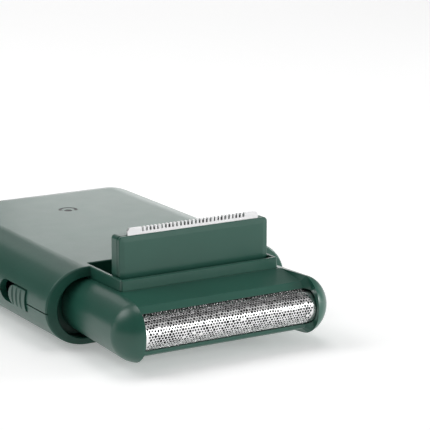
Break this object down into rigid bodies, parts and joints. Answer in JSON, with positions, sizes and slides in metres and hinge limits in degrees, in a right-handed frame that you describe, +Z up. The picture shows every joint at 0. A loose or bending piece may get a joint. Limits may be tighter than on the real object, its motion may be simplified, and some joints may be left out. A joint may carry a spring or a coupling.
{
  "type": "foil shaver",
  "caption": "Pocket electric shaver: flat rounded handle, single foil head, hinged pop-up comb trimmer and side slide switch.",
  "frame": {"origin": "on the flat underside, on the middle plane, below the handle's front rim", "axes": "+X across the width, +Y along the handle away from the shaving head, +Z up through the flat top"},
  "size_m": [0.0625, 0.1073, 0.0284],
  "materials": {
    "green": "satin",
    "black": "matte",
    "grey": "matte",
    "steel": "bright",
    "zinc": "satin",
    "brass": "satin",
    "rubber": "matte",
    "pcb": "gloss",
    "cell": "gloss",
    "lens": "gloss",
    "foam": "matte",
    "copper": "satin"
  },
  "bodies": {
    "housing": {"upper_housing": "green", "lower_housing": "green", "housing_screws": "zinc", "drive_plate": "green", "guide_rods": "steel", "head_clips": "steel", "motor_can": "zinc", "motor_end_cap": "black", "motor_bush": "brass", "motor_terminals": "copper", "motor_screws": "zinc", "shaft_seal": "rubber", "trimmer_leaf_spring": "steel", "switch_case": "black", "switch_board": "pcb", "battery_cell": "cell", "battery_contacts": "zinc", "battery_pad": "foam", "circuit_board": "pcb", "board_chips": "black", "light_pipe": "lens", "mark_inlay": "black", "charge_socket": "zinc", "socket_tongue": "black", "wires": "rubber"},
    "rotor": {"motor_shaft": "steel", "crank": "brass"},
    "bridge": {"drive_bridge": "grey", "bridge_bushes": "brass", "drive_pin": "steel"},
    "inner_cutter": {"cutter_blades": "steel", "cutter_carrier": "black", "cutter_spring": "steel"},
    "head": {"head_shell": "green", "foil": "steel", "foil_frame": "black"},
    "trimmer": {"trimmer_cover": "green", "trimmer_block": "green", "trimmer_pins": "steel", "trimmer_comb": "steel"},
    "trimmer_blade": {"trimmer_cutter": "steel"},
    "switch": {"switch_button": "green"}
  },
  "joints": [
    {"name": "motor_spin", "type": "hinge", "parent": "housing", "child": "rotor", "pos_m": [0, 0.005, 0.00865], "axis": [0, 1, 0], "continuous": true},
    {"name": "bridge_slide", "type": "slide", "parent": "housing", "child": "bridge", "axis": [1, 0, 0], "range_m": [-0.0007, 0.0007]},
    {"name": "cutter_float", "type": "slide", "parent": "bridge", "child": "inner_cutter", "axis": [0, 1, 0], "range_m": [0, 0.0008], "stiffness_N_per_m": 400, "springref_m": -0.001, "deforming": ["cutter_spring"]},
    {"name": "head_pull", "type": "slide", "parent": "housing", "child": "head", "axis": [0, -1, 0], "range_m": [0, 0.04]},
    {"name": "trimmer_hinge", "type": "hinge", "parent": "housing", "child": "trimmer", "pos_m": [0, -0.0103, 0.0159], "axis": [-1, 0, 0], "range_deg": [0, 90]},
    {"name": "trimmer_blade_slide", "type": "slide", "parent": "trimmer", "child": "trimmer_blade", "axis": [1, 0, 0], "range_m": [-0.0007, 0.0007]},
    {"name": "switch_slide", "type": "slide", "parent": "housing", "child": "switch", "axis": [0, 1, 0], "range_m": [0, 0.0048]}
  ],
  "couplings": [
    {"joint": "trimmer_blade_slide", "follows": "bridge_slide", "ratio": 1}
  ]
}
